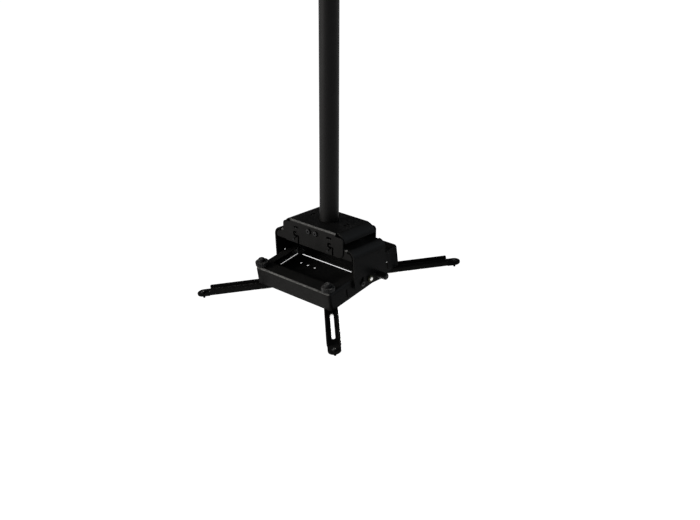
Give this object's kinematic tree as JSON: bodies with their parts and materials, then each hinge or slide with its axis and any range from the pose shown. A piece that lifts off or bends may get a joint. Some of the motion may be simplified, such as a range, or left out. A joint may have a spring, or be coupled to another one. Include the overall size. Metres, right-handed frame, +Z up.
{
  "type": "projector ceiling mount",
  "caption": "Pole-hung ceiling mount with folded steel brackets, a tilting open tray and slotted diagonal arms with screw tips.",
  "frame": {"origin": "middle of the ceiling plate's upper face, on the pole axis", "axes": "+Z up into the ceiling, -Y to the front of the carried device, +X to its right seen from above with the front towards -Y"},
  "size_m": [0.323, 0.3184, 0.5645],
  "materials": {
    "black_sheet": "satin black powder coat",
    "black_tube": "satin black powder coat",
    "black_screw": "black oxide",
    "zinc": "bright zinc",
    "knob_plastic": "moulded"
  },
  "bodies": {
    "ceiling_pole": {"ceiling_plate": "black_sheet", "ceiling_socket": "black_tube", "socket_bolt": "zinc", "socket_nut": "zinc", "drop_pole": "black_tube", "pole_stop_ring": "black_tube"},
    "head": {"upper_bracket": "black_sheet", "pole_collar": "black_tube", "collar_screws": "black_screw", "lower_bracket": "black_sheet", "hook_studs": "black_screw"},
    "tray": {"tray_frame": "black_sheet", "tray_floor": "black_sheet", "corner_standoffs": "black_tube", "pivot_bolts": "zinc", "pivot_nuts": "black_screw", "pivot_spacers": "zinc", "lock_weld_nuts": "black_screw", "tilt_lock_screws": "black_screw", "back_clamp_screws": "black_screw"},
    "tilt_knob_body": {"tilt_stud": "zinc", "tilt_knob": "knob_plastic"},
    "shoe_fl": {"slide_shoe_fl": "zinc"},
    "arm_body_fl": {"arm_fl": "black_sheet", "tip_screw_fl": "black_screw"},
    "thumb_fl": {"thumb_knob_fl": "knob_plastic", "thumb_stud_fl": "zinc"},
    "shoe_fr": {"slide_shoe_fr": "zinc"},
    "arm_body_fr": {"arm_fr": "black_sheet", "tip_screw_fr": "black_screw"},
    "thumb_fr": {"thumb_knob_fr": "knob_plastic", "thumb_stud_fr": "zinc"},
    "shoe_bl": {"slide_shoe_bl": "zinc"},
    "arm_body_bl": {"arm_bl": "black_sheet", "tip_screw_bl": "black_screw"},
    "shoe_br": {"slide_shoe_br": "zinc"},
    "arm_body_br": {"arm_br": "black_sheet", "tip_screw_br": "black_screw"}
  },
  "joints": [
    {"name": "head_turn", "type": "hinge", "parent": "ceiling_pole", "child": "head", "pos_m": [0, 0, -0.425], "axis": [0, 0, 1], "continuous": true},
    {"name": "tray_tilt", "type": "hinge", "parent": "head", "child": "tray", "pos_m": [0, 0, -0.504], "axis": [1, 0, 0], "range_deg": [-25, 5]},
    {"name": "tilt_knob_turn", "type": "hinge", "parent": "tray", "child": "tilt_knob_body", "pos_m": [0.1, 0.01773, -0.50087], "axis": [1, 0, 0], "continuous": true},
    {"name": "arm_swing_fl", "type": "hinge", "parent": "tray", "child": "shoe_fl", "pos_m": [-0.07566, -0.07591, -0.54318], "axis": [0, -0.1736, 0.9848], "range_deg": [-40, 40]},
    {"name": "arm_slide_fl", "type": "slide", "parent": "shoe_fl", "child": "arm_body_fl", "axis": [-0.7071, -0.6964, -0.1228], "range_m": [-0.052, 0.018]},
    {"name": "thumb_turn_fl", "type": "hinge", "parent": "tray", "child": "thumb_fl", "pos_m": [-0.07566, -0.08272, -0.50457], "axis": [0, -0.1736, 0.9848], "continuous": true},
    {"name": "arm_swing_fr", "type": "hinge", "parent": "tray", "child": "shoe_fr", "pos_m": [0.07566, -0.07591, -0.54318], "axis": [0, -0.1736, 0.9848], "range_deg": [-40, 40]},
    {"name": "arm_slide_fr", "type": "slide", "parent": "shoe_fr", "child": "arm_body_fr", "axis": [0.7071, -0.6964, -0.1228], "range_m": [-0.052, 0.018]},
    {"name": "thumb_turn_fr", "type": "hinge", "parent": "tray", "child": "thumb_fr", "pos_m": [0.07566, -0.08272, -0.50457], "axis": [0, -0.1736, 0.9848], "continuous": true},
    {"name": "arm_swing_bl", "type": "hinge", "parent": "tray", "child": "shoe_bl", "pos_m": [-0.07566, 0.07311, -0.5169], "axis": [0, -0.1736, 0.9848], "range_deg": [-40, 40]},
    {"name": "arm_slide_bl", "type": "slide", "parent": "shoe_bl", "child": "arm_body_bl", "axis": [-0.7071, 0.6964, 0.1228], "range_m": [-0.052, 0.018]},
    {"name": "arm_swing_br", "type": "hinge", "parent": "tray", "child": "shoe_br", "pos_m": [0.07566, 0.07311, -0.5169], "axis": [0, -0.1736, 0.9848], "range_deg": [-40, 40]},
    {"name": "arm_slide_br", "type": "slide", "parent": "shoe_br", "child": "arm_body_br", "axis": [0.7071, 0.6964, 0.1228], "range_m": [-0.052, 0.018]}
  ]
}
